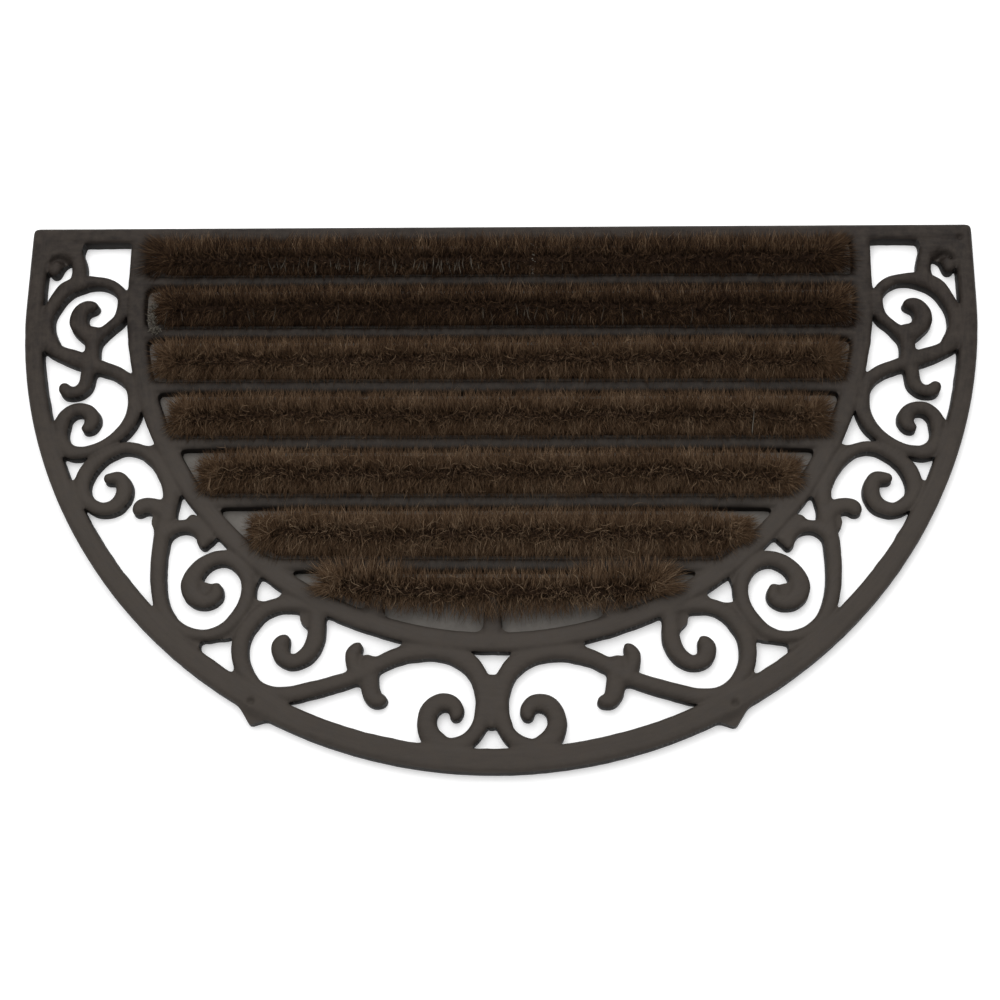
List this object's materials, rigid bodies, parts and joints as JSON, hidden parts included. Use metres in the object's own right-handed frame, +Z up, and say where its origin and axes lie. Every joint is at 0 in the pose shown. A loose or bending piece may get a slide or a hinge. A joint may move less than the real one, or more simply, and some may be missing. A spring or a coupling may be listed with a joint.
{
  "type": "half-round coir doormat with rubber frame",
  "caption": "Half-round doormat: a moulded rubber frame with open scroll work round its curved side and rows of short coir brush set in its trays.",
  "frame": {"origin": "centre of the mat's outline in plan, on the underside", "axes": "+X along the straight back edge, +Y from the curved front towards the straight back edge, +Z up out of the brush"},
  "size_m": [0.75, 0.44, 0.0231],
  "materials": {
    "rubber": "matt moulded, finely grained and dusty",
    "coir": "coarse upright coir fibre, dark brown with paler tips"
  },
  "bodies": {
    "root": {"frame": "rubber", "brush_row_1": "coir", "brush_row_2": "coir", "brush_row_3": "coir", "brush_row_4": "coir", "brush_row_5": "coir", "brush_row_6": "coir", "brush_row_7": "coir"}
  },
  "joints": []
}
